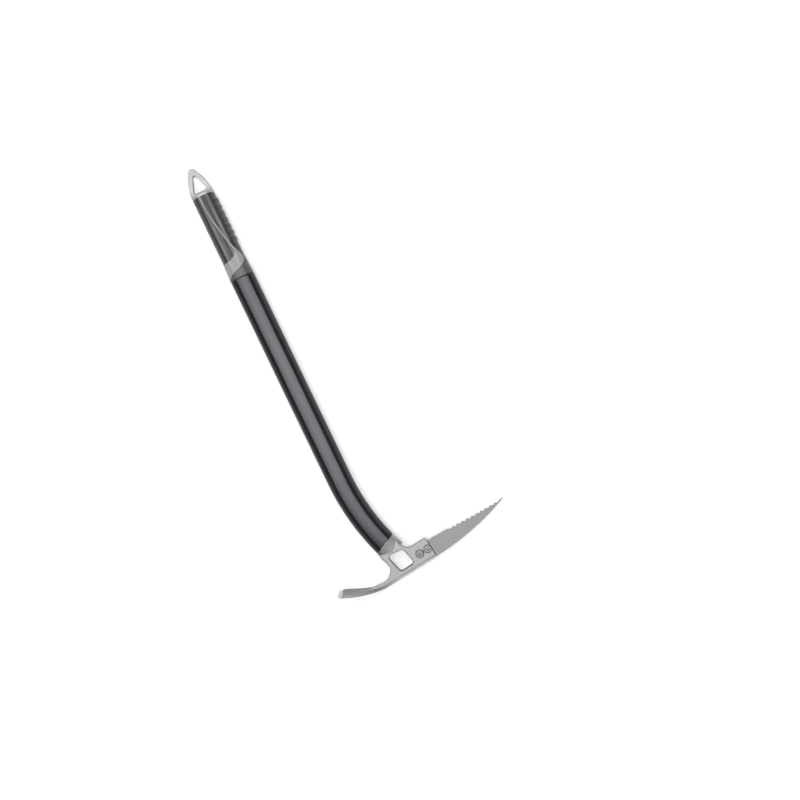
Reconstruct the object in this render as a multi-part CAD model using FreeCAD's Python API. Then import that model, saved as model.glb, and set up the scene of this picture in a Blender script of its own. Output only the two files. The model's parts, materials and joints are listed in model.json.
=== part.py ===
import FreeCAD, Part
import math
import os

# A technical ice axe with a bent shaft, in millimetres.
#
# It is drawn in its own flat plane: x runs towards the pick, y from the head to the spike's point, and z
# across the shaft. The straight part of the shaft lies along x = 0, and y = 0 is the head's palm side at its
# lowest. At the end the finished axe is laid on the floor as it comes to rest: on the adze's corner, the
# pick's point and the grip. +Z is then up, and the origin is the middle of its box, on the floor.

Vector = FreeCAD.Vector
UP = Vector(0, 0, 1)
NEARLY = 1e-6

# Overall
TOOL_LENGTH = 570.0

# Shaft: a flat-sided oval tube, necked down under the grip
SHAFT_WIDTH = 31.0
SHAFT_THICKNESS = 21.0
SHAFT_CROWN = 45.0
SHAFT_WALL = 1.6
BEND_START = 145.0
BEND_RADIUS = 280.0
BEND_ANGLE = 18.0
JOINT_PAST_BEND = 8.0
JOINT_SLANT = 25.5
NECK_SIDE_STEP = 3.3
NECK_FACE_STEP = 2.1
NECK_TAPER = 8.0

# Grip
GRIP_LENGTH = 111.3
GRIP_SIDE_WALL = 2.1
GRIP_FACE_WALL = 1.8
GRIP_CROWN = 40.0
GRIP_FLARE = 26.0
CORE_WALL = 0.9
BAND_PROUD = 0.35
RIB_COUNT = 7
RIB_PITCH = 8.6
RIB_HEIGHT = 1.2
RIB_END_GAP = 6.6
RIB_REACH = 68.0
RIB_ROOT = 0.8
RIB_VALLEY = 0.1
COLLAR_REACH = 19.5
CORE_SETBACK = 9.0
PANEL_TUCK = 2.0

# The borders of the grip's pieces: shares of its half width from its middle, and distances above its seam
BACK_BORDER = [
    (-0.4, 111.0),
    (-0.31, 92.0),
    (-0.17, 74.0),
    (-0.03, 64.0),
    (0.17, 50.0),
    (0.32, 42.0),
    (0.42, 36.0),
]
PANEL_FOOT = [(0.42, 36.0), (0.35, 31.0), (0.07, 27.3), (-0.42, 24.6), (-2.0, 18.0)]
COLLAR_EDGE = [(-2.0, -1.0), (-1.08, 3.0), (-0.55, 8.0), (0.14, 11.7), (0.74, 16.7)]
FRONT_BORDER = [
    (0.74, 16.7),
    (0.88, 23.0),
    (0.77, 30.0),
    (0.44, 42.0),
    (0.1, 64.0),
    (-0.13, 82.0),
    (-0.2, 111.0),
]

# Spike
SPIKE_LENGTH = 37.7
SPIKE_TIP_HALF = 2.87
SPIKE_SHOULDER = 4.4
SPIKE_BASE_THICKNESS = 11.0
SPIKE_TIP_THICKNESS = 3.6
SPIKE_EDGE = 1.3
SPIKE_EDGE_SHARE = 0.45
SPIKE_TIP_SHARE = 0.4
SPIKE_STATIONS = 6
SPIKE_STATION_SPREAD = 1.5
SPIKE_EYE_TIP_SHARE = 0.146
SPIKE_EYE_BASE_SHARE = 0.826
SPIKE_EYE_HALF = 9.4
SPIKE_EYE_ROUND = 2.4
SPIKE_TANG_LENGTH = 36.0

# Head: palm bar, adze, web, collar and tang
PALM_TILT = 6.3
PALM_RISE = 2.0
FLANGE_WIDTH = 14.0
FLANGE_THICKNESS = 2.6
FLANGE_LENGTH = 68.0
ADZE_NECK_RADIUS = 60.0
ADZE_NECK_TURN = 14.4
ADZE_RADIUS = 180.0
ADZE_TURN = 16.3
ADZE_WIDTH = 56.0
ADZE_FLARE = 1.5
ADZE_GUTTER = 2.2
ADZE_THICKNESS = 2.5
ADZE_BEVEL = 7.0
ADZE_EDGE = 0.5
ADZE_STATIONS = 7
WEB_THICKNESS = 10.4
WEB_EDGE = 1.2
BAR_HEIGHT = 7.6
STEM_WIDTH = 6.9
STEM_LENGTH = 25.0
STEM_SWEEP_OUT = 5.0
STEM_SWEEP_DOWN = 9.0
COLLAR_TUCK = 3.0
COLLAR_DEPTH = 14.0
COLLAR_LIP = 0.12
COLLAR_WAIST = 0.5
COLLAR_SPREAD = 2.0
RIB_START = 4.0
RIB_SHARE = 0.86
RIB_TIP = 34.0
CLAMP_SETBACK = 1.0
CLAMP_LEAN = 2.5
CLAMP_HEIGHT = 27.0
CLAMP_LENGTH = 22.0
CLAMP_ROUND = 4.0
BRIDGE_DROP = 4.0
BRIDGE_WAIST = 25.0
BRIDGE_WIDTH = 7.0
BRIDGE_NECK = 2.2
EYE_LEAN = 1.5
EYE_TOP = 35.5
EYE_ROUND = 4.0
HEAD_TANG_LENGTH = 46.0
TANG_WALL = 2.4

# Pick and its bolts
PICK_THICKNESS = 4.0
PICK_REACH = 172.0
PICK_RADIUS = 330.0
PICK_ROOT_HEIGHT = 23.0
PICK_TAPER = 1.6
PICK_TEETH = 12
TOOTH_DEPTH = 2.6
TEETH_FROM = 0.24
TOOTH_FADE = 0.5
TOOTH_GULLET = 0.78
SLOT_LENGTH = 25.0
BOLT_RADIUS = 3.0
BOLT_HEAD_RADIUS = 5.0
BOLT_HEAD_HEIGHT = 3.2
BOLT_SOCKET_WIDTH = 4.0
BOLT_SOCKET_DEPTH = 2.0
NUT_WIDTH = 10.0
NUT_HEIGHT = 4.0
REAR_BOLT_SETBACK = 18.5
FRONT_BOLT_SETBACK = 7.0
BOLT_DROP = 14.0
BOLT_PAST_NUT = 1.0
BOLT_HEAD_ROUND = 1.2
NUT_CHAMFER = 1.06

# Cross pins
PIN_RADIUS = 2.5
HEAD_PIN_UP = (16.0, 32.0)
SPIKE_PIN_UP = (11.0, 26.0)

# Clearances
BOND_GAP = 0.15
SEAT_GAP = 0.3
HOLE_CLEARANCE = 0.05
MOULD_GAP = 0.1
SEAM_GAP = 1.4

# How far a cutting shape runs past what it cuts
CUT_PAST = 1.0

# Worked out from the sizes above; a section is (width, thickness, crown)
SHAFT = (SHAFT_WIDTH, SHAFT_THICKNESS, SHAFT_CROWN)
NECK_WIDTH = SHAFT_WIDTH - 2 * NECK_SIDE_STEP
NECK_THICKNESS = SHAFT_THICKNESS - 2 * NECK_FACE_STEP
NECK = (NECK_WIDTH, NECK_THICKNESS, SHAFT_CROWN)
GRIP_WIDTH = NECK_WIDTH + 2 * GRIP_SIDE_WALL
GRIP_THICKNESS = NECK_THICKNESS + 2 * GRIP_FACE_WALL
GRIP = (GRIP_WIDTH, GRIP_THICKNESS, GRIP_CROWN)
SPIKE_BASE = TOOL_LENGTH - SPIKE_LENGTH
NECK_END = SPIKE_BASE - SEAT_GAP
GRIP_SEAM = SPIKE_BASE - GRIP_LENGTH
CORE_START = GRIP_SEAM + CORE_SETBACK
CLAMP_BACK = FLANGE_LENGTH - CLAMP_LENGTH
SLOT_BACK = FLANGE_LENGTH - SLOT_LENGTH
EYE_FRONT = CLAMP_BACK - BRIDGE_WIDTH
BEND_CENTRE = Vector(BEND_RADIUS, BEND_START, 0)


def turned(degrees):
    """The unit vector at an angle from +x, in the axe's plane."""
    angle = math.radians(degrees)
    return Vector(math.cos(angle), math.sin(angle), 0)


def oval(width, thickness, crown, y):
    """A shaft section in the plane at y: two crowned faces joined by round edges."""
    edge = (crown**2 - (width / 2) ** 2 - (crown - thickness / 2) ** 2) / (2 * crown - width)
    side = width / 2 - edge
    drop = crown - thickness / 2
    reach = crown - edge
    touch_x = side * crown / reach
    touch_z = drop * edge / reach
    corners = [
        Vector(touch_x, y, touch_z),
        Vector(-touch_x, y, touch_z),
        Vector(-touch_x, y, -touch_z),
        Vector(touch_x, y, -touch_z),
    ]
    middles = [
        Vector(0, y, thickness / 2),
        Vector(-width / 2, y, 0),
        Vector(0, y, -thickness / 2),
        Vector(width / 2, y, 0),
    ]
    arcs = []
    for index, middle in enumerate(middles):
        arcs.append(Part.Arc(corners[index], middle, corners[(index + 1) % 4]).toShape())
    return Part.Wire(arcs)


def oval_bar(width, thickness, crown, low_y, high_y):
    """A straight bar of oval section between two heights."""
    face = Part.Face(oval(width, thickness, crown, low_y))
    return face.extrude(Vector(0, high_y - low_y, 0))


def oval_taper(low, low_y, high, high_y):
    """A bar that changes from one oval, given as (width, thickness, crown), to another."""
    return Part.makeLoft([oval(*low, low_y), oval(*high, high_y)], True, True)


def shrunk(section, gap):
    """The oval that lies inside (width, thickness, crown) by a gap, or outside it by a negative one."""
    width, thickness, crown = section
    return (width - 2 * gap, thickness - 2 * gap, crown - gap)


def on_bend(degrees):
    """The point on the shaft's axis that lies some degrees round the bend."""
    return BEND_CENTRE - turned(degrees) * BEND_RADIUS


def bend_degrees(distance):
    """How far round the bend a point is that lies a distance along the axis from the head's joint."""
    return BEND_ANGLE - math.degrees((distance - JOINT_PAST_BEND) / BEND_RADIUS)


HEAD_DIRECTION = turned(BEND_ANGLE - 90)
JOINT = on_bend(BEND_ANGLE) + HEAD_DIRECTION * JOINT_PAST_BEND


def bent_bar(section, from_degrees, past_bend):
    """A bar of oval section round the shaft's bend, and straight on past it."""
    face = Part.Face(oval(*section, BEND_START))
    face.rotate(BEND_CENTRE, UP, from_degrees)
    bend = face.revolve(BEND_CENTRE, UP, BEND_ANGLE - from_degrees)
    face.rotate(BEND_CENTRE, UP, BEND_ANGLE - from_degrees)
    return bend.fuse(face.extrude(HEAD_DIRECTION * past_bend))


def below_joint(gap):
    """A block that fills everything on the head's side of the slanted joint, from a gap short of it."""
    reach = SHAFT_WIDTH * 3
    block = Part.makeBox(2 * reach, reach, 2 * reach, Vector(-reach, -reach - gap, -reach))
    block.rotate(Vector(), UP, JOINT_SLANT)
    block.translate(JOINT)
    return block


def prism(wire, thickness):
    """A plate of the given thickness, centred on the axe's plane."""
    face = Part.Face(wire)
    face.translate(Vector(0, 0, -thickness / 2))
    return face.extrude(Vector(0, 0, thickness))


def cross_pin(centre, direction, length, radius):
    """A round pin, centred on a point."""
    return Part.makeCylinder(radius, length, centre - direction * (length / 2), direction)


def upright_edges(solid):
    """The edges of a plate that run across its thickness."""
    return [edge for edge in solid.Edges if edge.BoundBox.ZLength > edge.Length - NEARLY]


def spline(points):
    """A smooth edge through points in the axe's plane."""
    curve = Part.BSplineCurve()
    curve.interpolate([Vector(x, y, 0) for x, y in points])
    return curve.toShape()


def arc(first, middle, last):
    """A round edge through three points in the axe's plane."""
    return Part.Arc(Vector(*first, 0), Vector(*middle, 0), Vector(*last, 0)).toShape()


def line(first, last):
    """A straight edge between two points in the axe's plane."""
    return Part.LineSegment(Vector(*first, 0), Vector(*last, 0)).toShape()


# Head pins run from edge to edge of the shaft, round the bend, and spike pins from face to face of the neck.


def head_pin_place(distance):
    degrees = bend_degrees(distance)
    return on_bend(degrees), turned(degrees)


def spike_pin_place(distance):
    return Vector(0, SPIKE_BASE - distance, 0), UP


def drilled(solid, places, length):
    """The solid with a clearance hole for each pin."""
    for centre, direction in places:
        solid = solid.cut(cross_pin(centre, direction, length, PIN_RADIUS + HOLE_CLEARANCE))
    return solid


HEAD_PINS = [head_pin_place(distance) for distance in HEAD_PIN_UP]
SPIKE_PINS = [spike_pin_place(distance) for distance in SPIKE_PIN_UP]


def shaft_bore_and_skin(gap):
    """The shaft's outer shape, or the shape that lies inside it by a gap."""
    section = shrunk(SHAFT, gap)
    neck = shrunk(NECK, gap)
    bar = bent_bar(section, 0, JOINT_PAST_BEND + SHAFT_WIDTH)
    bar = bar.fuse(oval_bar(*section, BEND_START, GRIP_SEAM))
    bar = bar.fuse(oval_taper(section, GRIP_SEAM, neck, GRIP_SEAM + NECK_TAPER))
    return bar.fuse(oval_bar(*neck, GRIP_SEAM + NECK_TAPER, NECK_END + gap))


def shaft_tube():
    tube = shaft_bore_and_skin(0).cut(shaft_bore_and_skin(SHAFT_WALL))
    tube = tube.cut(below_joint(-SEAT_GAP / 2))
    tube = drilled(tube, HEAD_PINS, 2 * SHAFT_WIDTH)
    return drilled(tube, SPIKE_PINS, 2 * NECK_THICKNESS)


# The palm side is a straight line under the eye and the pick's clamp. It turns into the adze in two arcs.

PALM_START = Vector(0, PALM_RISE, 0)
ADZE_NECK_LENGTH = ADZE_NECK_RADIUS * math.radians(ADZE_NECK_TURN)
ADZE_LENGTH = ADZE_NECK_LENGTH + ADZE_RADIUS * math.radians(ADZE_TURN)


def palm_height(x, above):
    """The y of a point on the palm line's side, some height above it, under the eye and the clamp."""
    return PALM_RISE + x * math.tan(math.radians(PALM_TILT)) + above


def inward(slope):
    """The direction into the head, square to a palm side that climbs towards the adze at a slope."""
    return turned(90 - slope)


def palm_point(travel):
    """The place on the palm side at a distance from the line's end towards the adze, and its slope there."""
    if travel <= 0:
        return PALM_START + turned(PALM_TILT) * -travel, -PALM_TILT
    neck_travel = min(travel, ADZE_NECK_LENGTH)
    neck_slope = -PALM_TILT + math.degrees(neck_travel / ADZE_NECK_RADIUS)
    place = PALM_START + (inward(-PALM_TILT) - inward(neck_slope)) * ADZE_NECK_RADIUS
    slope = neck_slope + math.degrees((travel - neck_travel) / ADZE_RADIUS)
    return place + (inward(neck_slope) - inward(slope)) * ADZE_RADIUS, slope


def adze_section(travel, width):
    """A thin, slightly gutter-shaped section across the adze."""
    place, slope = palm_point(travel)
    depth = inward(slope)
    gutter = ADZE_GUTTER * (width / ADZE_WIDTH) ** 2
    side = UP * (width / 2)
    outer = [place - side + depth * gutter, place, place + side + depth * gutter]
    inner = [point + depth * ADZE_THICKNESS for point in outer]
    return Part.Wire([
        Part.Arc(*outer).toShape(),
        Part.LineSegment(outer[2], inner[2]).toShape(),
        Part.Arc(inner[2], inner[1], inner[0]).toShape(),
        Part.LineSegment(inner[0], outer[0]).toShape(),
    ])


def adze():
    """The adze: it widens from the palm flange to a cutting edge, bevelled on the spike's side."""
    start = -FLANGE_WIDTH / 2
    sections = []
    for station in range(ADZE_STATIONS + 1):
        share = station / ADZE_STATIONS
        flare = math.sin(share * math.pi / 2) ** ADZE_FLARE
        width = FLANGE_WIDTH + (ADZE_WIDTH - FLANGE_WIDTH) * flare
        sections.append(adze_section(start + share * (ADZE_LENGTH - start), width))
    blade = Part.makeLoft(sections, True, False)
    edge, slope = palm_point(ADZE_LENGTH)
    bevel = Part.makeBox(2 * ADZE_BEVEL, ADZE_BEVEL, 2 * ADZE_WIDTH, Vector(-ADZE_BEVEL, 0, -ADZE_WIDTH))
    angle = math.degrees(math.atan2(ADZE_THICKNESS - ADZE_EDGE, ADZE_BEVEL))
    bevel.rotate(Vector(), UP, angle - slope)
    bevel.translate(edge + inward(slope) * (ADZE_EDGE + ADZE_GUTTER))
    return blade.cut(bevel)


def palm_flange():
    """The plate along the palm side, from the adze to the front of the pick's clamp."""
    corner = Vector(0, 0, -FLANGE_WIDTH / 2)
    flange = Part.makeBox(FLANGE_LENGTH, FLANGE_THICKNESS, FLANGE_WIDTH, corner)
    flange.rotate(Vector(), UP, PALM_TILT)
    flange.translate(PALM_START)
    return flange


def on_shaft_edge(side, past_joint):
    """A point in line with the shaft's edge, on the pick's side (1) or the adze's (-1), past the joint."""
    edge = turned(BEND_ANGLE) * (side * SHAFT_WIDTH / 2)
    place = JOINT + edge + HEAD_DIRECTION * past_joint
    return (place.x, place.y)


def clamp_top(x):
    """A point on the clamp's top, which runs level with the palm line."""
    return Vector(x, palm_height(x, CLAMP_HEIGHT), 0)


def bridge_hollow():
    """The round hollow of the bridge: its centre and radius. It leaves the clamp's top without a corner."""
    foot = clamp_top(CLAMP_BACK)
    reach = foot - Vector(*on_shaft_edge(1, BRIDGE_DROP), 0)
    away = inward(-PALM_TILT)
    radius = -reach.dot(reach) / (2 * reach.dot(away))
    return foot + away * radius, radius


def head_outline():
    """The web's outline: stem, rib under the adze, palm bar, pick clamp and front bridge."""
    inside = FLANGE_THICKNESS / 2
    stem_top = on_shaft_edge(-1, COLLAR_TUCK)
    stem_foot = on_shaft_edge(-1, STEM_LENGTH)
    rib_start, rib_slope = palm_point(RIB_START)
    rib_root = rib_start + inward(rib_slope) * BAR_HEIGHT * RIB_SHARE
    rib_tip, tip_slope = palm_point(RIB_TIP)
    rib_end = rib_tip + inward(tip_slope) * ADZE_THICKNESS
    buried = rib_tip + inward(tip_slope) * inside
    bottom, bottom_slope = palm_point(RIB_START)
    bottom = bottom + inward(bottom_slope) * inside
    stem_sweep = (stem_foot[0] - STEM_SWEEP_OUT, stem_foot[1] - STEM_SWEEP_DOWN)
    front_x = FLANGE_LENGTH - CLAMP_SETBACK
    palm_end = (0, palm_height(0, inside))
    front_palm = (front_x, palm_height(front_x, inside))
    front_foot = clamp_top(front_x - CLAMP_LEAN)
    clamp_back = clamp_top(CLAMP_BACK)
    bridge_top = on_shaft_edge(1, BRIDGE_DROP)
    hollow, radius = bridge_hollow()
    waist = hollow - turned(BRIDGE_WAIST) * radius
    return Part.Wire([
        line(stem_top, stem_foot),
        arc(stem_foot, stem_sweep, (rib_root.x, rib_root.y)),
        line((rib_root.x, rib_root.y), (rib_end.x, rib_end.y)),
        line((rib_end.x, rib_end.y), (buried.x, buried.y)),
        line((buried.x, buried.y), (bottom.x, bottom.y)),
        line((bottom.x, bottom.y), palm_end),
        line(palm_end, front_palm),
        line(front_palm, (front_foot.x, front_foot.y)),
        line((front_foot.x, front_foot.y), (clamp_back.x, clamp_back.y)),
        arc((clamp_back.x, clamp_back.y), (waist.x, waist.y), bridge_top),
        line(bridge_top, stem_top),
    ])


def eye_block(thickness):
    """What the carabiner eye takes out of the web: four sides with round corners, clear of the bridge."""
    foot_x = on_shaft_edge(-1, STEM_LENGTH)[0] + STEM_WIDTH
    lean = math.tan(math.radians(BEND_ANGLE))
    low_y = palm_height(foot_x, BAR_HEIGHT)
    stem_foot_y = on_shaft_edge(-1, STEM_LENGTH)[1]
    hollow, radius = bridge_hollow()
    corners = [
        (foot_x + (stem_foot_y - low_y) * lean, low_y),
        (EYE_FRONT, palm_height(EYE_FRONT, BAR_HEIGHT)),
        (hollow.x - math.sqrt((radius + BRIDGE_NECK) ** 2 - (hollow.y - EYE_TOP) ** 2) - EYE_LEAN, EYE_TOP),
        (foot_x + (stem_foot_y - EYE_TOP) * lean, EYE_TOP),
    ]
    sides = []
    for index, corner in enumerate(corners):
        sides.append(line(corner, corners[(index + 1) % len(corners)]))
    block = prism(Part.Wire(sides), thickness)
    return block.makeFillet(EYE_ROUND, upright_edges(block))


def above(edge, x, y):
    """Whether an edge's middle lies past a place, towards the pick and the spike."""
    return edge.CenterOfMass.x > x and edge.CenterOfMass.y > y


def web():
    """The forged plate that carries everything in the head, with eased edges and the carabiner eye."""
    plate = prism(head_outline(), WEB_THICKNESS)
    middle = palm_height(CLAMP_BACK, CLAMP_HEIGHT / 2)
    corners = [edge for edge in upright_edges(plate) if above(edge, CLAMP_BACK, middle)]
    plate = plate.makeFillet(CLAMP_ROUND, corners)
    plate = plate.cut(eye_block(2 * WEB_THICKNESS))
    rims = []
    for edge in plate.Edges:
        flange_top = palm_height(edge.CenterOfMass.x, FLANGE_THICKNESS)
        if edge.BoundBox.ZLength < NEARLY and above(edge, -NEARLY, flange_top):
            rims.append(edge)
    return plate.makeFillet(WEB_EDGE, rims)


def collar_section(depth, width, thickness):
    """A section of the collar, some depth below the slanted joint."""
    wire = oval(width, thickness, SHAFT_CROWN * width / SHAFT_WIDTH, 0)
    wire.rotate(Vector(), UP, JOINT_SLANT + (BEND_ANGLE - JOINT_SLANT) * depth / COLLAR_DEPTH)
    wire.translate(JOINT + HEAD_DIRECTION * depth)
    return wire


def collar():
    """The hollow-faced wedge that spreads from the web out to the shaft's full section."""
    slanted = SHAFT_WIDTH / math.cos(math.radians(JOINT_SLANT - BEND_ANGLE))
    slopes = []
    for share in (0, COLLAR_LIP, COLLAR_WAIST, 1):
        thickness = SHAFT_THICKNESS + (WEB_THICKNESS - SHAFT_THICKNESS) * math.sin(share * math.pi / 2)
        width = slanted + (SHAFT_WIDTH + COLLAR_SPREAD - slanted) * share
        slopes.append(collar_section(COLLAR_DEPTH * share, width, thickness))
    return Part.makeLoft(slopes, True, False)


def head_tang():
    """The hollow tang that fills the end of the shaft, bonded and pinned there."""
    section = shrunk(SHAFT, SHAFT_WALL + BOND_GAP)
    top = bend_degrees(HEAD_TANG_LENGTH)
    tang = bent_bar(section, top, JOINT_PAST_BEND + COLLAR_LIP * COLLAR_DEPTH)
    core = bent_bar(shrunk(section, TANG_WALL), top - CUT_PAST, JOINT_PAST_BEND - TANG_WALL)
    return tang.cut(core)


def pick_slot():
    """The slot between the clamp's cheeks, open at the front and on the spike's side."""
    width = PICK_THICKNESS + 2 * HOLE_CLEARANCE
    height = 2 * CLAMP_HEIGHT
    corner = Vector(SLOT_BACK, FLANGE_THICKNESS, -width / 2)
    slot = Part.makeBox(FLANGE_LENGTH, height, width, corner)
    slot.rotate(Vector(), UP, PALM_TILT)
    slot.translate(PALM_START)
    return slot


def bolt_place(setback):
    """The middle of a pick bolt, some distance back from the front of the palm flange."""
    x = FLANGE_LENGTH - setback
    return Vector(x, palm_height(x, BOLT_DROP), 0)


BOLT_PLACES = [bolt_place(REAR_BOLT_SETBACK), bolt_place(FRONT_BOLT_SETBACK)]


def bolt_holes(solid):
    """The solid with a clearance hole for each pick bolt."""
    for place in BOLT_PLACES:
        solid = solid.cut(cross_pin(place, UP, 2 * WEB_THICKNESS, BOLT_RADIUS + HOLE_CLEARANCE))
    return solid


def head_casting():
    head = web().fuse([palm_flange(), adze(), collar(), head_tang()])
    head = head.cut(pick_slot())
    head = drilled(head, HEAD_PINS, 2 * SHAFT_WIDTH)
    return bolt_holes(head).removeSplitter()


# The pick's palm edge carries on from the head's palm line and droops round one arc. Its height runs out to
# nothing at the point, and teeth are cut into its lower edge.

PICK_ROOT = FLANGE_LENGTH * math.cos(math.radians(PALM_TILT)) + SEAT_GAP


def pick_edge(share, height_share, depth=0):
    """A point on the pick, a share of the way from the head to the point and of its height there."""
    sine = math.sin(math.radians(PALM_TILT)) + share * (PICK_REACH - PICK_ROOT) / PICK_RADIUS
    slope = math.degrees(math.asin(sine))
    height = PICK_ROOT_HEIGHT * (1 - share**PICK_TAPER) * height_share
    root = Vector(PICK_ROOT, palm_height(PICK_ROOT, 0), 0)
    sweep = (inward(-PALM_TILT) - inward(-slope)) * PICK_RADIUS
    place = root + sweep + Vector(0, height - depth, 0)
    return (place.x, place.y)


def pick_outline():
    tail = SLOT_BACK * math.cos(math.radians(PALM_TILT)) + SEAT_GAP
    under_flange = FLANGE_THICKNESS / math.cos(math.radians(PALM_TILT)) + SEAT_GAP
    points = [
        (PICK_ROOT, palm_height(PICK_ROOT, under_flange)),
        (tail, palm_height(tail, under_flange)),
        (tail, palm_height(tail, PICK_ROOT_HEIGHT)),
    ]
    tooth = (1 - TEETH_FROM) / PICK_TEETH
    for index in range(PICK_TEETH):
        start = TEETH_FROM + index * tooth
        points.append(pick_edge(start, 1))
        if index < PICK_TEETH - 1:
            bite = TOOTH_DEPTH * (1 - start**PICK_TAPER * TOOTH_FADE)
            points.append(pick_edge(start + tooth * TOOTH_GULLET, 1, bite))
    point = pick_edge(1, 1)
    points.append(point)
    edges = [line(first, last) for first, last in zip(points, points[1:])]
    edges.append(arc(point, pick_edge(0.5, 0), pick_edge(0, 0)))
    edges.append(line(pick_edge(0, 0), points[0]))
    return Part.Wire(edges)


def pick():
    return bolt_holes(prism(pick_outline(), PICK_THICKNESS))


def hexagon(width):
    """A hexagon round the z axis, given its width across flats."""
    corner = Vector(width / math.sqrt(3), 0, 0)
    points = []
    for side in range(7):
        points.append(FreeCAD.Rotation(UP, 60 * side).multVec(corner))
    return Part.makePolygon(points)


def pick_bolt(place):
    """A round-headed bolt with a hexagon socket, its head on the upper cheek."""
    cheek = WEB_THICKNESS / 2
    length = WEB_THICKNESS + NUT_HEIGHT + BOLT_PAST_NUT
    shank = Part.makeCylinder(BOLT_RADIUS, length, Vector(0, 0, cheek - length))
    head = Part.makeCylinder(BOLT_HEAD_RADIUS, BOLT_HEAD_HEIGHT, Vector(0, 0, cheek))
    top = [edge for edge in head.Edges if edge.BoundBox.ZMin > cheek + BOLT_HEAD_HEIGHT - NEARLY]
    head = head.makeFillet(BOLT_HEAD_ROUND, top)
    socket = Part.Face(hexagon(BOLT_SOCKET_WIDTH)).extrude(UP * BOLT_HEAD_HEIGHT)
    socket.translate(UP * (cheek + BOLT_HEAD_HEIGHT - BOLT_SOCKET_DEPTH))
    bolt = shank.fuse(head).cut(socket)
    bolt.translate(place)
    return bolt


def pick_nut(place):
    """A hexagon nut with chamfered corners on the lower cheek."""
    nut = Part.Face(hexagon(NUT_WIDTH)).extrude(UP * NUT_HEIGHT)
    cone_radius = NUT_WIDTH / 2 + NUT_HEIGHT
    cone = Part.makeCone(NUT_WIDTH / 2 * NUT_CHAMFER, cone_radius * NUT_CHAMFER, NUT_HEIGHT)
    nut = nut.common(cone)
    bore = Part.makeCylinder(BOLT_RADIUS + HOLE_CLEARANCE, 2 * NUT_HEIGHT)
    nut = nut.cut(bore)
    nut.translate(place - UP * (WEB_THICKNESS / 2 + NUT_HEIGHT))
    return nut


# The spike's sides are arcs that meet in a rounded point. It grows thicker towards its oval shoulder.


def spike_half_width(from_tip):
    """Half the spike's width at a distance from its point."""
    narrowing = GRIP_WIDTH / 2 - SPIKE_TIP_HALF
    side_radius = (SPIKE_LENGTH**2 + narrowing**2) / (2 * narrowing)
    rise = SPIKE_LENGTH - from_tip
    return GRIP_WIDTH / 2 - side_radius + math.sqrt(side_radius**2 - rise**2)


def spike_section(from_tip):
    """A round-cornered section across the spike."""
    half = spike_half_width(from_tip)
    if from_tip == 0:
        half = half * SPIKE_TIP_SHARE
    share = from_tip / SPIKE_LENGTH
    thickness = SPIKE_TIP_THICKNESS + (SPIKE_BASE_THICKNESS - SPIKE_TIP_THICKNESS) * share
    return spike_wire(half, thickness / 2, TOOL_LENGTH - from_tip)


def spike_wire(half, rise, y):
    """A rectangle with round corners in the plane at y."""
    corner = min(SPIKE_EDGE, SPIKE_EDGE_SHARE * rise, SPIKE_EDGE_SHARE * half)
    bend = corner * (1 - math.sqrt(0.5))
    edges = []
    quarter = [(1, 1), (-1, 1), (-1, -1), (1, -1)]
    ends = []
    for side, face in quarter:
        outer = Vector(side * half, y, face * (rise - corner))
        middle = Vector(side * (half - bend), y, face * (rise - bend))
        inner = Vector(side * (half - corner), y, face * rise)
        ends.append((outer, middle, inner) if side * face > 0 else (inner, middle, outer))
    for index, (start, middle, end) in enumerate(ends):
        edges.append(Part.Arc(start, middle, end).toShape())
        edges.append(Part.LineSegment(end, ends[(index + 1) % 4][0]).toShape())
    return Part.Wire(edges)


def spike_eye_block():
    """What the leash eye takes out of the spike: a triangle with round corners."""
    top = TOOL_LENGTH - SPIKE_LENGTH * SPIKE_EYE_TIP_SHARE
    base = TOOL_LENGTH - SPIKE_LENGTH * SPIKE_EYE_BASE_SHARE
    corners = [(0, top), (-SPIKE_EYE_HALF, base), (SPIKE_EYE_HALF, base)]
    sides = [line(corners[index], corners[(index + 1) % 3]) for index in range(3)]
    block = prism(Part.Wire(sides), 2 * SPIKE_BASE_THICKNESS)
    return block.makeFillet(SPIKE_EYE_ROUND, upright_edges(block))


def spike():
    sections = []
    for station in range(SPIKE_STATIONS + 1):
        share = (station / SPIKE_STATIONS) ** SPIKE_STATION_SPREAD
        sections.append(spike_section((SPIKE_LENGTH - SPIKE_SHOULDER / 2) * share))
    blade = Part.makeLoft(sections, True, False)
    blade = blade.cut(spike_eye_block())
    shoulder = oval_bar(*GRIP, SPIKE_BASE, SPIKE_BASE + SPIKE_SHOULDER)
    rim = [edge for edge in shoulder.Edges if edge.BoundBox.YMin > SPIKE_BASE + SPIKE_SHOULDER / 2]
    shoulder = shoulder.makeFillet(SPIKE_EDGE, rim)
    section = shrunk(NECK, SHAFT_WALL + BOND_GAP)
    tang = oval_bar(*section, SPIKE_BASE - SPIKE_TANG_LENGTH, SPIKE_BASE)
    core = oval_bar(*shrunk(section, TANG_WALL), SPIKE_BASE - 2 * SPIKE_TANG_LENGTH, SPIKE_BASE - TANG_WALL)
    return drilled(blade.fuse([shoulder, tang]).cut(core), SPIKE_PINS, 2 * NECK_THICKNESS).removeSplitter()


# The grip is moulded round the neck: a hard core whose band and line show, and soft panels on the rest.


def grip_skin(proud):
    """The grip's outer shape, which flares to the shaft's own section at the seam, grown by proud."""
    grip = shrunk(GRIP, -proud)
    shaft = shrunk(SHAFT, -proud)
    start = GRIP_SEAM + SEAM_GAP
    skin = oval_taper(shaft, start, grip, start + GRIP_FLARE)
    return skin.fuse(oval_bar(*grip, start + GRIP_FLARE, NECK_END))


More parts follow.
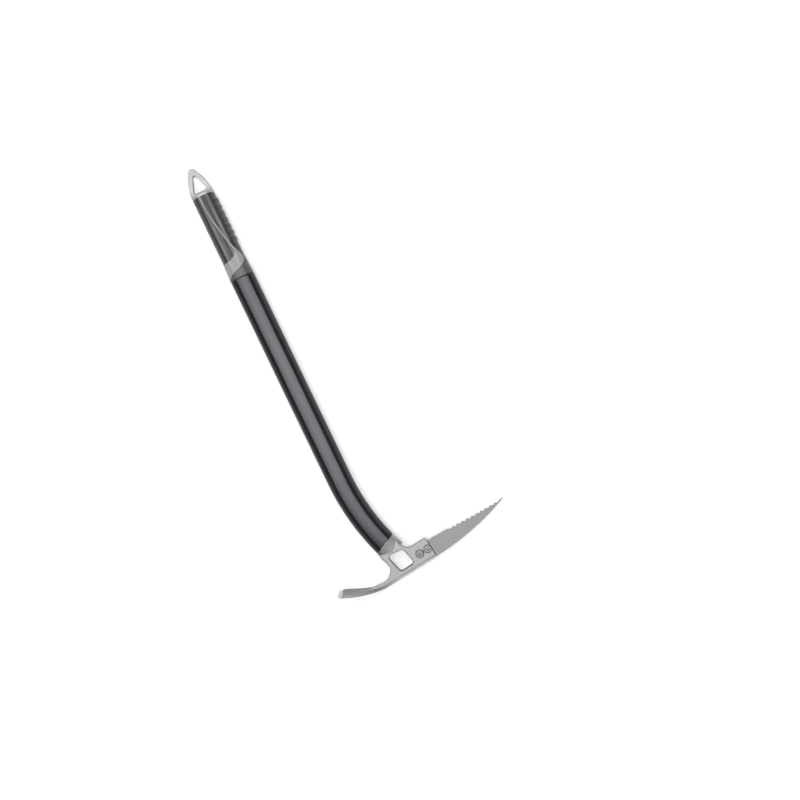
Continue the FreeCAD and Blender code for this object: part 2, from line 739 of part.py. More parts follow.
def neck_skin(gap):
    """The shaft's neck and its taper, grown by a gap: what the grip's pieces are moulded round."""
    shaft = shrunk(SHAFT, -gap)
    neck = shrunk(NECK, -gap)
    taper = oval_taper(shaft, GRIP_SEAM, neck, GRIP_SEAM + NECK_TAPER)
    return taper.fuse(oval_bar(*neck, GRIP_SEAM + NECK_TAPER, TOOL_LENGTH))


def on_grip(point):
    """The place in the axe's plane of a border point."""
    return (point[0] * GRIP_WIDTH / 2, GRIP_SEAM + point[1])


def border(points):
    """A smooth edge along one of the grip's borders."""
    return spline([on_grip(point) for point in points])


def outline(points):
    """Straight edges through places in the axe's plane."""
    return [line(first, last) for first, last in zip(points, points[1:])]


def band_block():
    """The block that holds the band and the line which rises from it to the spike."""
    line_back = on_grip(BACK_BORDER[0])
    line_front = on_grip(FRONT_BORDER[-1])
    edges = [border(BACK_BORDER), border(PANEL_FOOT), border(COLLAR_EDGE), border(FRONT_BORDER)]
    edges = edges + outline([on_grip(PANEL_FOOT[-1]), on_grip(COLLAR_EDGE[0])])
    top = [(line_front[0], TOOL_LENGTH), (line_back[0], TOOL_LENGTH)]
    edges = edges + outline([line_front, *top, line_back])
    return prism(Part.Wire(Part.__sortEdges__(edges)), 2 * SHAFT_THICKNESS)


def collar_block():
    """The block below the band's lower edge and across to the pick's side."""
    start = on_grip(COLLAR_EDGE[0])
    low = start[1] - GRIP_FLARE
    high = GRIP_SEAM + COLLAR_REACH
    rest = [on_grip(COLLAR_EDGE[-1]), (GRIP_WIDTH, high), (GRIP_WIDTH, low), (start[0], low), start]
    return prism(Part.Wire([border(COLLAR_EDGE)] + outline(rest)), 2 * SHAFT_THICKNESS)


def moved(shape, x, y):
    """A copy of a shape, shifted in the axe's plane."""
    copy = shape.copy()
    copy.translate(Vector(x, y, 0))
    return copy


def core_skin(gap):
    """The outside of the core's thin sleeve, which lies under the soft panels, grown by a gap."""
    return neck_skin(MOULD_GAP + CORE_WALL + gap)


def slab(low_y, high_y):
    """A block across the whole grip between two heights."""
    reach = SHAFT_WIDTH
    return Part.makeBox(2 * reach, high_y - low_y, 2 * reach, Vector(-reach, low_y, -reach))


def grip_core():
    """The hard core: a sleeve on the neck, with the band and the line that stand up from it."""
    sleeve = core_skin(0).common(grip_skin(0)).common(slab(CORE_START, NECK_END))
    band = grip_skin(BAND_PROUD).common(band_block())
    return sleeve.fuse(band).cut(neck_skin(MOULD_GAP)).removeSplitter()


def grip_collar():
    """The wedge between the band's lower edge and the bare shaft."""
    ring = grip_skin(0).common(moved(collar_block(), MOULD_GAP, -MOULD_GAP))
    ring = ring.cut(neck_skin(MOULD_GAP))
    return ring.cut(core_skin(MOULD_GAP).common(slab(CORE_START - MOULD_GAP, NECK_END)))


def grip_ribs():
    """The scalloped strip of rounded ribs that wraps round the pick's side of the grip."""
    width, thickness, crown = GRIP
    edge = (crown**2 - (width / 2) ** 2 - (crown - thickness / 2) ** 2) / (2 * crown - width)
    root = edge - RIB_ROOT
    valley = edge + RIB_VALLEY
    high = SPIKE_BASE - RIB_END_GAP
    low = high - RIB_COUNT * RIB_PITCH
    edges = [line((root, high), (root, low)), line((root, low), (valley, low))]
    for index in range(RIB_COUNT):
        foot = low + index * RIB_PITCH
        crest = (edge + RIB_HEIGHT, foot + RIB_PITCH / 2)
        edges.append(arc((valley, foot), crest, (valley, foot + RIB_PITCH)))
    edges.append(line((valley, high), (root, high)))
    face = Part.Face(Part.Wire(edges))
    face.rotate(Vector(), Vector(0, 1, 0), RIB_REACH)
    ribs = face.revolve(Vector(), Vector(0, -1, 0), 2 * RIB_REACH)
    return moved(ribs, width / 2 - edge, 0)


def clear_of_band(solid):
    """What is left of a soft solid beside the core, with its band and line, and the collar."""
    left = solid.cut(core_skin(MOULD_GAP))
    band = band_block()
    for x, y in ((MOULD_GAP, 0), (-MOULD_GAP, 0), (0, MOULD_GAP)):
        left = left.cut(moved(band, x, y))
    return left.cut(collar_block())


def back_side():
    """The block that holds the panel on the adze's side of the line."""
    top = on_grip(BACK_BORDER[0])
    end = on_grip(BACK_BORDER[-1])
    far, foot = on_grip(COLLAR_EDGE[0])
    tucked = end[0] + PANEL_TUCK
    inner = [end, (tucked, end[1]), (tucked, foot)]
    outer = [(far, foot), (far, TOOL_LENGTH), (top[0], TOOL_LENGTH), top]
    return prism(Part.Wire([border(BACK_BORDER)] + outline(inner + outer)), 2 * SHAFT_THICKNESS)


def grip_back_rubber():
    return clear_of_band(grip_skin(0)).common(back_side())


def grip_front_rubber():
    panel = clear_of_band(grip_skin(0)).cut(back_side())
    return panel.fuse(clear_of_band(grip_ribs())).removeSplitter()


def pin(place, length):
    """A cross pin in its hole."""
    centre, direction = place
    return cross_pin(centre, direction, length, PIN_RADIUS)


def resting_rotation():
    """The tilt with which the axe rests on a floor: on the adze's corner, the pick's point and the grip."""
    edge, slope = palm_point(ADZE_LENGTH)
    adze_corner = edge + inward(slope) * ADZE_GUTTER - UP * (ADZE_WIDTH / 2)
    pick_point = Vector(*pick_edge(1, 1), -PICK_THICKNESS / 2)
    grip_end = Vector(0, NECK_END, -GRIP_THICKNESS / 2)
    floor = (pick_point - adze_corner).cross(grip_end - adze_corner)
    return FreeCAD.Rotation(floor, UP)


def laid_down(solids):
    """The pieces on the floor, with the origin in the middle of their box's lowest face."""
    tilt = FreeCAD.Placement(Vector(), resting_rotation())
    whole = Part.Compound([solid.copy() for solid in solids.values()])
    whole.Placement = tilt
    box = whole.optimalBoundingBox(False, False)
    shift = Vector(-box.Center.x, -box.Center.y, -box.ZMin)
    place = FreeCAD.Placement(shift, resting_rotation())
    return {name: solid.transformed(place.toMatrix()) for name, solid in solids.items()}, place


def pieces():
    """Every piece of the axe, by name, in the axe's own plane."""
    made = {
        "shaft_tube": shaft_tube(),
        "head_casting": head_casting(),
        "pick": pick(),
        "spike": spike(),
        "grip_core": grip_core(),
        "grip_collar": grip_collar(),
        "grip_back_rubber": grip_back_rubber(),
        "grip_front_rubber": grip_front_rubber(),
    }
    for name, place in zip(("lower", "upper"), HEAD_PINS):
        made[f"head_pin_{name}"] = pin(place, SHAFT_WIDTH - SEAT_GAP)
    for name, place in zip(("upper", "lower"), SPIKE_PINS):
        made[f"spike_pin_{name}"] = pin(place, NECK_THICKNESS)
    for name, place in zip(("rear", "front"), BOLT_PLACES):
        made[f"pick_bolt_{name}"] = pick_bolt(place)
        made[f"pick_nut_{name}"] = pick_nut(place)
    return made


def main():
    os.makedirs("parts", exist_ok=True)
    made, _ = laid_down(pieces())
    for name, solid in made.items():
        solid.exportStep(f"parts/{name}.step")
        print(f"{name}: {len(solid.Solids)} solid, {solid.Volume / 1000:.2f} cm3, valid {solid.isValid()}")


if __name__ == "__main__":
    main()
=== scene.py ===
import json
import math

import bmesh
import bpy
from mathutils import Matrix, Vector


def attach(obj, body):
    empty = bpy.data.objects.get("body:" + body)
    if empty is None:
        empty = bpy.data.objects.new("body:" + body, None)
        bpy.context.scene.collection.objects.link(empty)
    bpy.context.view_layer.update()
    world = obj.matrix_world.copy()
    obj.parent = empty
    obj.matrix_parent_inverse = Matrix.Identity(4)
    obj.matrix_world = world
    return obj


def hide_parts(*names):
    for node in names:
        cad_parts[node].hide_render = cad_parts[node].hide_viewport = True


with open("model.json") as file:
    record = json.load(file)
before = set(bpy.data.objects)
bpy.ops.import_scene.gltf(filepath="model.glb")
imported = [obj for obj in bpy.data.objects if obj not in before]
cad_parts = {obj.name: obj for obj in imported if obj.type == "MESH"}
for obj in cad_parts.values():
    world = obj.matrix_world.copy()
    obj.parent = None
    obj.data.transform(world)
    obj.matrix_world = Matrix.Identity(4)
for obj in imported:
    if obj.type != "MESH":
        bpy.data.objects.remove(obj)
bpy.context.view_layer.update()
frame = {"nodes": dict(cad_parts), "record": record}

# The axe's own plane, in metres: x runs towards the pick, y from the head to the spike, z across the shaft.
# The strap zone's mount gives a point 0.3 m from the head's palm side and the way the shaft runs, and the
# eye's mount gives the way across.
STRAP_ZONE_Y = 0.300

# Camera, in that plane: square to it, as far off as a 50 mm lens needs to show 0.985 m across the picture
CAMERA_TARGET = (0.1095, 0.202)
CAMERA_DISTANCE = 1.369
CAMERA_LENS = 50.0
CAMERA_SENSOR = 36.0
CAMERA_ROLL = 25.7

# Studio: a lamp's place is to the right, up and towards the camera, and its size is the side of a square.
# The floor's glow grows over a distance from the axe, and the sky fades over a height above the horizon.
WHITE = (1.0, 1.0, 1.0)
FLOOR_SIZE = 60.0
FLOOR_COLOUR = (0.92, 0.92, 0.92)
FLOOR_ROUGHNESS = 0.9
FLOOR_SPECULAR = 0.1
FLOOR_GLOW = (0.34, 1.0)
FLOOR_GLOW_REACH = (0.6, 3.0)
SKY_STRENGTH = 0.2
HORIZON_STRENGTH = 1.0
HORIZON_REACH = (0.1, 0.55)
SOFTBOX_SIZE = 1.3
SOFTBOX_PLACE = (-0.3, 0.1, 2.4)
SOFTBOX_POWER = 29.0
SIDE_LIGHT_SIZE = 1.3
SIDE_LIGHT_PLACE = (-2.0, 1.1, 1.6)
SIDE_LIGHT_POWER = 10.0
FILL_LIGHT_SIZE = 0.8
FILL_LIGHT_PLACE = (1.0, -1.2, 1.6)
FILL_LIGHT_POWER = 7.0

# The grip, in metres: each face is two soft lobes that meet in a crease along its length. The crease takes
# up what lies between the tube's neck and the grip's outer face, and fades out where the bare band begins.
GRIP_NODES = ("grip_core", "grip_front_rubber", "grip_back_rubber")
GRIP_GRID = 0.0009
GRIP_HALF = 0.0102
GRIP_WALL = 0.0018
GRIP_CROWN = 0.040
CREASE_X = -0.0008
CREASE_DEPTH = 0.0014
CREASE_REACH = 0.0091
CREASE_ROUND = 0.0006
CREASE_FADE = (0.428, 0.450)
SMOOTH_ANGLE = 35.0
WELD = 0.000001

# Noises: their scales are features to the metre, and a stretch draws them out along an axis where it is small
ALONG_SHAFT = (1.0, 0.03, 1.0)
ALONG_HEAD = (0.06, 1.0, 1.0)
ACROSS = (0.1, 0.1, 1.0)
EVEN = (1.0, 1.0, 1.0)
NOISE_ROUGHNESS = 0.55
BROAD_DETAIL = 4.0
FINE_DETAIL = 3.0
GRAIN_DETAIL = 2.0
MIDDLE = (0.3, 0.7)
WIDE = (0.25, 0.75)

# Painted shade in corners and gaps
BEVEL_SAMPLES = 4
CREVICE_SAMPLES = 8
CREVICE_REACH = 0.002
CREVICE_OPENNESS = (0.3, 0.85)
SHADE_PAINT = (0.015, 0.015, 0.015)
CORNER_SHADE_SHARE = 0.85

# Metal: shares by which blotches darken or lighten it, how its grain shows, and how its edges brighten,
# partly as wear and partly as a painted highlight
BARE_ALUMINIUM = (0.3, 0.3, 0.31)
BRIGHT_STEEL = (0.82, 0.82, 0.8)
METAL_BLOTCHES = 45.0
METAL_DARKER = 0.14
METAL_LIGHTER = 0.1
METAL_GRAIN = 600.0
METAL_GRAIN_SHOWS = (0.35, 0.7)
METAL_GRAIN_TONE = 1.16
METAL_EDGE = (0.01, 0.22)
EDGE_PATCHES = 230.0
EDGE_PATCHES_SHOW = (0.25, 0.55)
GRAIN_SMOOTHER = 0.06
GRAIN_ROUGHER = 0.08
BLOTCH_ROUGHER = 0.07
WORN_SMOOTHER = 0.12

# Painted shade inside an eye and towards the spike's base, and where the adze's edge is ground bright
EYE_RIM = 0.0022
EYE_REACH = (0.0155, 0.018)
EYE_FACING = (0.1, 0.55)
EYE_PAINTED_SHADE = 0.28
BASE_SHADE_SHARE = 0.25
SPIKE_BASE_SHADE = (0.5335, 0.547)
ADZE_GRIND = (-0.0585, -0.0578)
GRIND_LINES = 1400.0
GRIND_LEAST = 0.55
GRIND_SHARE = 0.75

# Painted shade, in patches, on the adze's hollow side, which faces the spike
ADZE_HOLLOW_SHADE = (-0.024, -0.008)
HOLLOW_SHADE_FACING = (0.5, 0.8)
HOLLOW_SHADE_PATCHES = 90.0
HOLLOW_SHADE_SHOWS = (0.2, 0.6)
HOLLOW_SHADE_LEAST = 0.6
HOLLOW_SHADE_SHARE = 0.42

# Moulded plastic and rubber
MOULDED_BLOTCHES = 60.0
MOULDED_TONES = (0.85, 1.12)
MOULDED_PIT_TONE = 1.15
MOULDED_EDGE = (0.02, 0.3)
RUB_PATCHES = 300.0
RUB_SHOWS = (0.35, 0.65)
MOULDED_SMOOTHER = 0.05
MOULDED_ROUGHER = 0.07


def mount(name):
    """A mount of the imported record, by name."""
    return next(entry for entry in frame["record"]["mounts"] if entry["name"] == name)


def plane_matrix():
    """The matrix that takes a place in the axe's own plane to the row frame."""
    along_shaft = Vector(mount("shaft_strap_zone")["axis"]).normalized()
    across = Vector(mount("head_eye")["axis"]).normalized()
    to_pick = along_shaft.cross(across)
    origin = Vector(mount("shaft_strap_zone")["pos_m"]) - along_shaft * STRAP_ZONE_Y
    turn = Matrix((to_pick, along_shaft, across)).transposed().to_4x4()
    return Matrix.Translation(origin) @ turn


AXE = plane_matrix()


def rgba(colour):
    return (*colour, 1.0)


def shaded(colour, factor):
    """A colour made lighter or darker."""
    return rgba([channel * factor for channel in colour])


def add_node(tree, kind, **settings):
    """A new node of a tree, with some of its settings."""
    made = tree.nodes.new(kind)
    for key, value in settings.items():
        setattr(made, key, value)
    return made


class Material:
    """A node material under construction, with short calls for the nodes that these finishes share."""

    def __init__(self, name):
        self.data = bpy.data.materials.new(name)
        self.data.use_nodes = True
        self.tree = self.data.node_tree
        self.tree.nodes.clear()
        self.shader = self.node("ShaderNodeBsdfPrincipled")
        output = self.node("ShaderNodeOutputMaterial")
        self.link(self.shader.outputs["BSDF"], output.inputs["Surface"])

    def node(self, kind, **settings):
        return add_node(self.tree, kind, **settings)

    def link(self, source, target):
        self.tree.links.new(source, target)

    def put(self, target, value):
        """Links a socket to a target, or sets the target's own value."""
        if isinstance(value, bpy.types.NodeSocket):
            self.link(value, target)
        else:
            target.default_value = value

    def place(self, stretch=EVEN):
        """Coordinates in the axe's own plane, in metres, multiplied by a stretch along each axis."""
        coordinates = self.node("ShaderNodeTexCoord")
        turned = self.node("ShaderNodeMapping", vector_type="TEXTURE")
        turned.inputs["Location"].default_value = AXE.to_translation()
        turned.inputs["Rotation"].default_value = AXE.to_euler()
        self.link(coordinates.outputs["Object"], turned.inputs["Vector"])
        if stretch == EVEN:
            return turned.outputs["Vector"]
        scaled = self.node("ShaderNodeVectorMath", operation="MULTIPLY")
        self.link(turned.outputs["Vector"], scaled.inputs[0])
        scaled.inputs[1].default_value = stretch
        return scaled.outputs["Vector"]

    def along(self, axis):
        """A point's place along one axis of the axe's plane."""
        split = self.node("ShaderNodeSeparateXYZ")
        self.link(self.place(), split.inputs["Vector"])
        return split.outputs[axis]

    def noise(self, scale, detail, stretch=EVEN):
        """A noise from 0 to 1, with so many features to the metre."""
        made = self.node("ShaderNodeTexNoise")
        self.link(self.place(stretch), made.inputs["Vector"])
        made.inputs["Scale"].default_value = scale
        made.inputs["Detail"].default_value = detail
        made.inputs["Roughness"].default_value = NOISE_ROUGHNESS
        return made.outputs["Fac"]

    def range(self, value, low, high, to_low=0.0, to_high=1.0):
        """Maps a range of one value to another range, clamped and eased."""
        made = self.node("ShaderNodeMapRange", interpolation_type="SMOOTHSTEP")
        self.link(value, made.inputs["Value"])
        made.inputs["From Min"].default_value = low
        made.inputs["From Max"].default_value = high
        made.inputs["To Min"].default_value = to_low
        made.inputs["To Max"].default_value = to_high
        return made.outputs["Result"]

    def math(self, operation, *values):
        """One step of arithmetic on sockets or numbers."""
        made = self.node("ShaderNodeMath", operation=operation)
        for index, value in enumerate(values):
            self.put(made.inputs[index], value)
        return made.outputs["Value"]

    def dot(self, first, second):
        """The dot product of a socket with another socket or a fixed direction."""
        made = self.node("ShaderNodeVectorMath", operation="DOT_PRODUCT")
        self.link(first, made.inputs[0])
        self.put(made.inputs[1], second)
        return made.outputs["Value"]

    def mix(self, share, first, second):
        """A mix of two colours."""
        made = self.node("ShaderNodeMix", data_type="RGBA")
        self.put(made.inputs["Factor"], share)
        self.put(made.inputs["A"], first)
        self.put(made.inputs["B"], second)
        return made.outputs["Result"]

    def bump(self, height, depth, under):
        """A bump of a depth in metres over another normal."""
        made = self.node("ShaderNodeBump")
        self.link(height, made.inputs["Height"])
        made.inputs["Strength"].default_value = 1.0
        made.inputs["Distance"].default_value = depth
        self.link(under, made.inputs["Normal"])
        return made.outputs["Normal"]

    def soft_normal(self, radius):
        """The surface's normal with its sharp edges rounded off to a radius."""
        made = self.node("ShaderNodeBevel", samples=BEVEL_SAMPLES)
        made.inputs["Radius"].default_value = radius
        return made.outputs["Normal"]

    def edges(self, radius, low, high):
        """How near a sharp edge a point is, from 0 to 1: where the rounded normal leaves the true one."""
        geometry = self.node("ShaderNodeNewGeometry")
        agreement = self.dot(self.soft_normal(radius), geometry.outputs["Normal"])
        return self.range(self.math("SUBTRACT", 1.0, agreement), low, high)

    def corner_shaded(self, tone):
        """A tone with painted shade in the corners, the gaps and the teeth's roots."""
        made = self.node("ShaderNodeAmbientOcclusion", samples=CREVICE_SAMPLES)
        made.inputs["Distance"].default_value = CREVICE_REACH
        deep = self.range(made.outputs["AO"], *CREVICE_OPENNESS, 1.0, 0.0)
        return self.mix(self.math("MULTIPLY", deep, CORNER_SHADE_SHARE), tone, rgba(SHADE_PAINT))

    def inside(self, eye):
        """How squarely a point of the rounded surface looks into an eye of the axe, from 0 to 1."""
        geometry = self.node("ShaderNodeNewGeometry")
        way = self.node("ShaderNodeVectorMath", operation="SUBTRACT")
        way.inputs[0].default_value = mount(eye)["pos_m"]
        self.link(geometry.outputs["Position"], way.inputs[1])
        unit = self.node("ShaderNodeVectorMath", operation="NORMALIZE")
        self.link(way.outputs["Vector"], unit.inputs[0])
        looks = self.dot(unit.outputs["Vector"], self.soft_normal(EYE_RIM))
        distance = self.node("ShaderNodeVectorMath", operation="LENGTH")
        self.link(way.outputs["Vector"], distance.inputs[0])
        near = self.range(distance.outputs["Value"], *EYE_REACH, 1.0, 0.0)
        return self.math("MULTIPLY", self.range(looks, *EYE_FACING), near)

    def scaled(self, reach):
        """Where the adze gets its painted shade, from 0 to 1: what faces the spike, in patches, fading out
        along x.
        """
        geometry = self.node("ShaderNodeNewGeometry")
        faces = self.dot(geometry.outputs["Normal"], AXE.to_3x3() @ Vector((0, 1, 0)))
        patches = self.range(self.noise(HOLLOW_SHADE_PATCHES, BROAD_DETAIL), *HOLLOW_SHADE_SHOWS, HOLLOW_SHADE_LEAST, 1.0)
        hollow = self.math("MULTIPLY", self.range(faces, *HOLLOW_SHADE_FACING), patches)
        return self.math("MULTIPLY", hollow, self.range(self.along("X"), *reach, 1.0, 0.0))

    def ground(self, reach):
        """Where the adze's edge is ground, from 0 to 1, in fine lines, ending along x."""
        lines = self.range(self.noise(GRIND_LINES, GRAIN_DETAIL, ACROSS), *MIDDLE, GRIND_LEAST, 1.0)
        return self.math("MULTIPLY", self.range(self.along("X"), *reach, GRIND_SHARE, 0.0), lines)


def metal(
    name, colour, roughness, bare_colour, streaks, radius, grain_depth,
    wear_and_highlight=0.5, change=1.0, eye=None, painted_base_shade=None, ground=None, scale=None
):
    """A satin metal: blotchy tone, streaks or blasted grain, and brighter, smoother edges, partly wear and
    partly a painted highlight.

    Change is how strong the blotches are. Inside an eye the metal gets a painted shade. It gets a painted
    shade up to the first of two places along y, which fades out by the second, and is ground bright up to two
    such places along x. The adze's hollow side gets a painted shade, in patches, up to two more places along
    x.
    """
    made = Material(name)
    fine = made.noise(METAL_GRAIN, FINE_DETAIL, streaks)
    light = made.range(made.noise(METAL_BLOTCHES, BROAD_DETAIL), *MIDDLE)
    darker = shaded(colour, 1 - METAL_DARKER * change)
    lighter = shaded(colour, 1 + METAL_LIGHTER * change)
    tone = made.mix(light, darker, lighter)
    tone = made.mix(made.range(fine, *METAL_GRAIN_SHOWS), tone, shaded(colour, METAL_GRAIN_TONE))
    # Brighter, smoother edges in patches: partly wear, partly a painted highlight
    patches = made.range(made.noise(EDGE_PATCHES, BROAD_DETAIL), *EDGE_PATCHES_SHOW)
    smooth = made.math("MULTIPLY", made.edges(radius, *METAL_EDGE), patches)
    smooth = made.math("MULTIPLY", smooth, wear_and_highlight)
    # Painted shade, in patches, on the adze's hollow side
    if scale is not None:
        tone = made.mix(made.math("MULTIPLY", made.scaled(scale), HOLLOW_SHADE_SHARE), tone, rgba(SHADE_PAINT))
    tone = made.mix(smooth, tone, rgba(bare_colour))
    if ground is not None:
        face = made.ground(ground)
        tone = made.mix(face, tone, rgba(bare_colour))
        smooth = made.math("MAXIMUM", smooth, face)
    # Painted shade towards the spike's base, fading out towards its tip
    if painted_base_shade is not None:
        tone = made.mix(made.range(made.along("Y"), *painted_base_shade, BASE_SHADE_SHARE, 0.0), tone, rgba(SHADE_PAINT))
    # Painted shade inside an eye
    if eye is not None:
        tone = made.mix(made.inside(eye), tone, shaded(colour, EYE_PAINTED_SHADE))
    # Painted shade in corners and gaps
    made.put(made.shader.inputs["Base Color"], made.corner_shaded(tone))
    made.shader.inputs["Metallic"].default_value = 1.0
    smoothest = roughness - GRAIN_SMOOTHER * change
    roughest = roughness + GRAIN_ROUGHER * change
    grainy = made.range(fine, *WIDE, smoothest, roughest)
    rough = made.math("MULTIPLY_ADD", light, BLOTCH_ROUGHER * change, grainy)
    rough = made.math("SUBTRACT", rough, made.math("MULTIPLY", smooth, WORN_SMOOTHER))
    made.put(made.shader.inputs["Roughness"], rough)
    made.put(made.shader.inputs["Normal"], made.bump(fine, grain_depth, made.soft_normal(radius)))
    return made.data


def moulded(name, colour, roughness, grain, grain_depth, radius, rubbed_colour, rubbed_share, specular):
    """Moulded plastic or rubber: spark-eroded grain, a faint change of tone, and paler, rubbed edges."""
    made = Material(name)
    blotches = made.noise(MOULDED_BLOTCHES, BROAD_DETAIL)
    pits = made.noise(grain, GRAIN_DETAIL)
    darker, lighter = [shaded(colour, tone) for tone in MOULDED_TONES]
    tone = made.mix(made.range(blotches, *MIDDLE), darker, lighter)
    tone = made.mix(made.range(pits, *MIDDLE), tone, shaded(colour, MOULDED_PIT_TONE))
    patches = made.range(made.noise(RUB_PATCHES, BROAD_DETAIL), *RUB_SHOWS)
    rubbed = made.math("MULTIPLY", made.edges(radius, *MOULDED_EDGE), patches)
    tone = made.mix(made.math("MULTIPLY", rubbed, rubbed_share), tone, rgba(rubbed_colour))
    # Painted shade in corners and gaps
    made.put(made.shader.inputs["Base Color"], made.corner_shaded(tone))
    made.shader.inputs["Specular IOR Level"].default_value = specular
    smoothest = roughness - MOULDED_SMOOTHER
    roughest = roughness + MOULDED_ROUGHER
    made.put(made.shader.inputs["Roughness"], made.range(blotches, *WIDE, smoothest, roughest))
    made.put(made.shader.inputs["Normal"], made.bump(pits, grain_depth, made.soft_normal(radius)))
    return made.data


FINISHES = {
    "shaft_anodised": metal(
        "shaft_anodised", (0.05, 0.051, 0.054), roughness=0.3, bare_colour=BARE_ALUMINIUM, streaks=ALONG_SHAFT,
        radius=0.0004, grain_depth=0.000004, wear_and_highlight=0.7, change=0.4
    ),
    "head_steel": metal(
        "head_steel", (0.35, 0.35, 0.345), roughness=0.46, bare_colour=BRIGHT_STEEL, streaks=EVEN,
        radius=0.0009, grain_depth=0.000012, wear_and_highlight=1.0, eye="head_eye", ground=ADZE_GRIND, scale=ADZE_HOLLOW_SHADE
    ),
    "pick_steel": metal(
        "pick_steel", (0.25, 0.25, 0.25), roughness=0.44, bare_colour=BRIGHT_STEEL, streaks=ALONG_HEAD,
        radius=0.0005, grain_depth=0.00001, wear_and_highlight=0.9
    ),
    "spike_steel": metal(
        "spike_steel", (0.6, 0.6, 0.59), roughness=0.48, bare_colour=BRIGHT_STEEL, streaks=EVEN,
        radius=0.0008, grain_depth=0.000008, wear_and_highlight=0.4, eye="spike_eye", painted_base_shade=SPIKE_BASE_SHADE
    ),
    "fastener_steel": metal(
        "fastener_steel", (0.24, 0.24, 0.25), roughness=0.4, bare_colour=BRIGHT_STEEL, streaks=EVEN,
        radius=0.0003, grain_depth=0.000004
    ),
    "pin_steel": metal(
        "pin_steel", (0.3, 0.3, 0.3), roughness=0.36, bare_colour=BRIGHT_STEEL, streaks=EVEN,
        radius=0.0003, grain_depth=0.000004
    ),
    "grip_light": moulded(
        "grip_light", (0.31, 0.314, 0.32), roughness=0.38, grain=2200.0, grain_depth=0.00001,
        radius=0.0003, rubbed_colour=(0.5, 0.5, 0.5), rubbed_share=0.5, specular=0.9
    ),
    "grip_grey": moulded(
        "grip_grey", (0.075, 0.075, 0.078), roughness=0.4, grain=2200.0, grain_depth=0.00001,
        radius=0.0003, rubbed_colour=(0.2, 0.2, 0.2), rubbed_share=0.5, specular=0.8
    ),
    "grip_rubber": moulded(
        "grip_rubber", (0.015, 0.015, 0.016), roughness=0.34, grain=1600.0, grain_depth=0.00001,
        radius=0.0004, rubbed_colour=(0.1, 0.1, 0.1), rubbed_share=0.12, specular=1.0
    ),
}


def finish_nodes():
    """Gives each CAD node the finish of its material slot."""
    for subpart in frame["record"]["subparts"]:
        slots = frame["nodes"][subpart["node"]].data.materials
        finish = FINISHES[subpart["material_slot"]]
        for index in range(len(slots)):
            slots[index] = finish


def smooth_step(low, high, value):
    """0 below a range, 1 above it, and eased in between."""
    share = min(max((value - low) / (high - low), 0), 1)
    return share * share * (3 - 2 * share)


def crease(place):
    """How far the crease draws a point in: all the way at the grip's face, and not at all at the tube."""
    reach = min(math.hypot(place.x - CREASE_X, CREASE_ROUND) / CREASE_REACH, 1)
    face = GRIP_HALF - place.x**2 / (2 * GRIP_CROWN)
    height = min(max(1 - (face - abs(place.z)) / GRIP_WALL, 0), 1)
    return CREASE_DEPTH * (1 - reach) ** 2 * height * smooth_step(*CREASE_FADE, place.y)


def cut_up(mesh, axis, step):
    """Cuts a mesh by even planes across an axis, so that it has points enough to bend."""
    low = min(vertex.co[axis] for vertex in mesh.verts)
    high = max(vertex.co[axis] for vertex in mesh.verts)
    normal = Vector([float(index == axis) for index in range(3)])
    for number in range(1, int((high - low) / step)):
        geometry = mesh.verts[:] + mesh.edges[:] + mesh.faces[:]
        place = normal * (low + number * step)
        bmesh.ops.bisect_plane(mesh, geom=geometry, plane_co=place, plane_no=normal)


def grip_piece(node, slot):
    """A piece of the grip with the crease moulded in. All of them share it, so they still fit each other."""
    shape = bmesh.new()
    shape.from_mesh(frame["nodes"][node].data)
    bmesh.ops.remove_doubles(shape, verts=shape.verts[:], dist=WELD)
    shape.transform(AXE.inverted())
    cut_up(shape, 1, GRIP_GRID)
    cut_up(shape, 0, GRIP_GRID)
    for vertex in shape.verts:
        vertex.co.z -= math.copysign(crease(vertex.co), vertex.co.z)
    shape.transform(AXE)
    mesh = bpy.data.meshes.new(node + "_moulded")
    shape.to_mesh(mesh)
    shape.free()
    mesh.materials.append(FINISHES[slot])
    made = bpy.data.objects.new(node + "_moulded", mesh)
    bpy.context.scene.collection.objects.link(made)
    mesh.shade_smooth()
    mesh.set_sharp_from_angle(angle=math.radians(SMOOTH_ANGLE))
    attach(made, "root")
    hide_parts(node)


def fade(tree, value, reach, low, high):
    """A value that changes from low to high, eased, over a reach of another."""
    made = add_node(tree, "ShaderNodeMapRange", interpolation_type="SMOOTHSTEP")
    made.inputs["From Min"].default_value, made.inputs["From Max"].default_value = reach
    made.inputs["To Min"].default_value = low
    made.inputs["To Max"].default_value = high
    tree.links.new(value, made.inputs["Value"])
    return made.outputs["Result"]


def glow(tree, target):
    """A glow for the camera, mirrors and glass alone: the floor is white and keeps the axe's shadow.

    It is weak round the axe and grows further out, where the lamps don't reach.
    """
    path = add_node(tree, "ShaderNodeLightPath")
    seen = path.outputs["Is Camera Ray"]
    for ray in ("Is Glossy Ray", "Is Transmission Ray"):
        either = add_node(tree, "ShaderNodeMath", operation="MAXIMUM")
        tree.links.new(seen, either.inputs[0])
        tree.links.new(path.outputs[ray], either.inputs[1])
        seen = either.outputs["Value"]
    place = add_node(tree, "ShaderNodeNewGeometry")
    distance = add_node(tree, "ShaderNodeVectorMath", operation="LENGTH")
    tree.links.new(place.outputs["Position"], distance.inputs[0])
    strength = add_node(tree, "ShaderNodeMath", operation="MULTIPLY")
    tree.links.new(seen, strength.inputs[0])
    tree.links.new(fade(tree, distance.outputs["Value"], FLOOR_GLOW_REACH, *FLOOR_GLOW), strength.inputs[1])
    tree.links.new(strength.outputs["Value"], target)


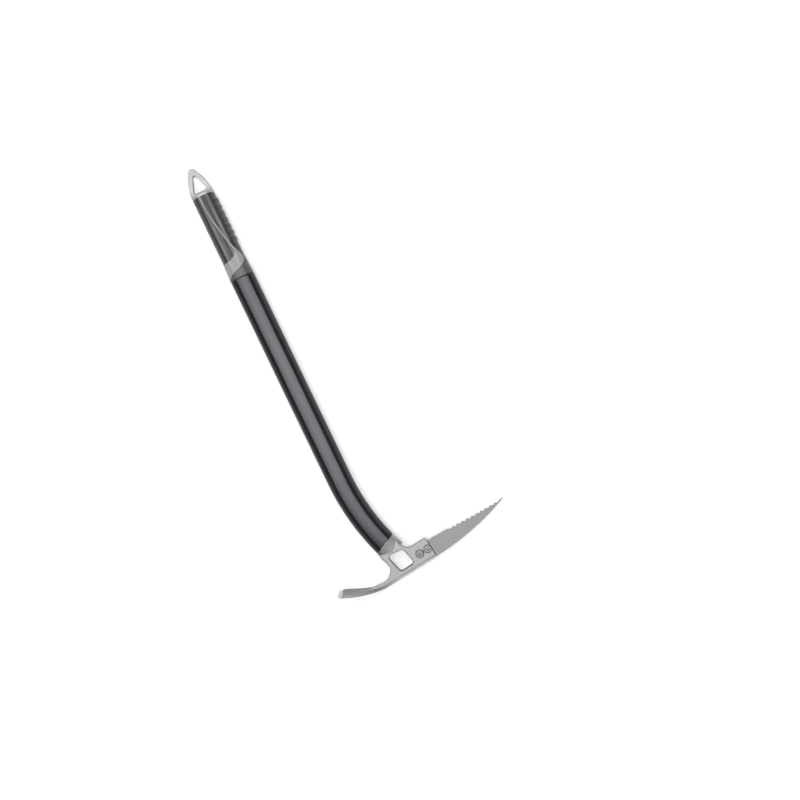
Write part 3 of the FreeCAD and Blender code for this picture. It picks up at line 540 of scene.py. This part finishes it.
def floor():
    """A wide, plain floor at the level that the axe lies on."""
    half = FLOOR_SIZE / 2
    corners = [(-half, -half, 0), (half, -half, 0), (half, half, 0), (-half, half, 0)]
    mesh = bpy.data.meshes.new("floor")
    mesh.from_pydata(corners, [], [(0, 1, 2, 3)])
    made = bpy.data.objects.new("floor", mesh)
    bpy.context.scene.collection.objects.link(made)
    paint = bpy.data.materials.new("floor_paint")
    paint.use_nodes = True
    shader = paint.node_tree.nodes["Principled BSDF"]
    shader.inputs["Base Color"].default_value = rgba(FLOOR_COLOUR)
    shader.inputs["Roughness"].default_value = FLOOR_ROUGHNESS
    shader.inputs["Specular IOR Level"].default_value = FLOOR_SPECULAR
    shader.inputs["Emission Color"].default_value = rgba(WHITE)
    glow(paint.node_tree, shader.inputs["Emission Strength"])
    mesh.materials.append(paint)


def sky():
    """A soft light from all round, dim overhead and pale towards the horizon, like a studio's walls."""
    world = bpy.data.worlds.new("studio")
    world.use_nodes = True
    tree = world.node_tree
    background = tree.nodes["Background"]
    background.inputs["Color"].default_value = rgba(WHITE)
    direction = add_node(tree, "ShaderNodeTexCoord")
    split = add_node(tree, "ShaderNodeSeparateXYZ")
    tree.links.new(direction.outputs["Generated"], split.inputs["Vector"])
    strength = fade(tree, split.outputs["Z"], HORIZON_REACH, HORIZON_STRENGTH, SKY_STRENGTH)
    tree.links.new(strength, background.inputs["Strength"])
    bpy.context.scene.world = world


def camera_turn():
    """The camera's rotation: square to the axe's plane, rolled so that the spike points to the upper left."""
    return AXE.to_3x3() @ Matrix.Rotation(math.radians(-CAMERA_ROLL), 3, "Z")


def area_light(name, size, place, power):
    """A square softbox that faces the camera's target from a place in the picture's own directions."""
    lamp = bpy.data.lights.new(name, "AREA")
    lamp.shape = "SQUARE"
    lamp.size = size
    lamp.energy = power
    made = bpy.data.objects.new(name, lamp)
    bpy.context.scene.collection.objects.link(made)
    centre = AXE @ Vector((*CAMERA_TARGET, 0))
    away = camera_turn() @ Vector(place)
    made.location = centre + away
    made.rotation_mode = "QUATERNION"
    made.rotation_quaternion = (-away).to_track_quat("-Z", "Y")


def camera():
    """The camera of the picture."""
    lens = bpy.data.cameras.new("camera")
    lens.lens = CAMERA_LENS
    lens.sensor_width = CAMERA_SENSOR
    made = bpy.data.objects.new("camera", lens)
    bpy.context.scene.collection.objects.link(made)
    made.rotation_mode = "QUATERNION"
    made.rotation_quaternion = camera_turn().to_quaternion()
    made.location = AXE @ Vector((*CAMERA_TARGET, CAMERA_DISTANCE))
    bpy.context.scene.camera = made


finish_nodes()
for subpart in frame["record"]["subparts"]:
    if subpart["node"] in GRIP_NODES:
        grip_piece(subpart["node"], subpart["material_slot"])
floor()
sky()
area_light("softbox", SOFTBOX_SIZE, SOFTBOX_PLACE, SOFTBOX_POWER)
area_light("side_light", SIDE_LIGHT_SIZE, SIDE_LIGHT_PLACE, SIDE_LIGHT_POWER)
area_light("fill_light", FILL_LIGHT_SIZE, FILL_LIGHT_PLACE, FILL_LIGHT_POWER)
camera()
bpy.context.scene.view_settings.view_transform = "Standard"
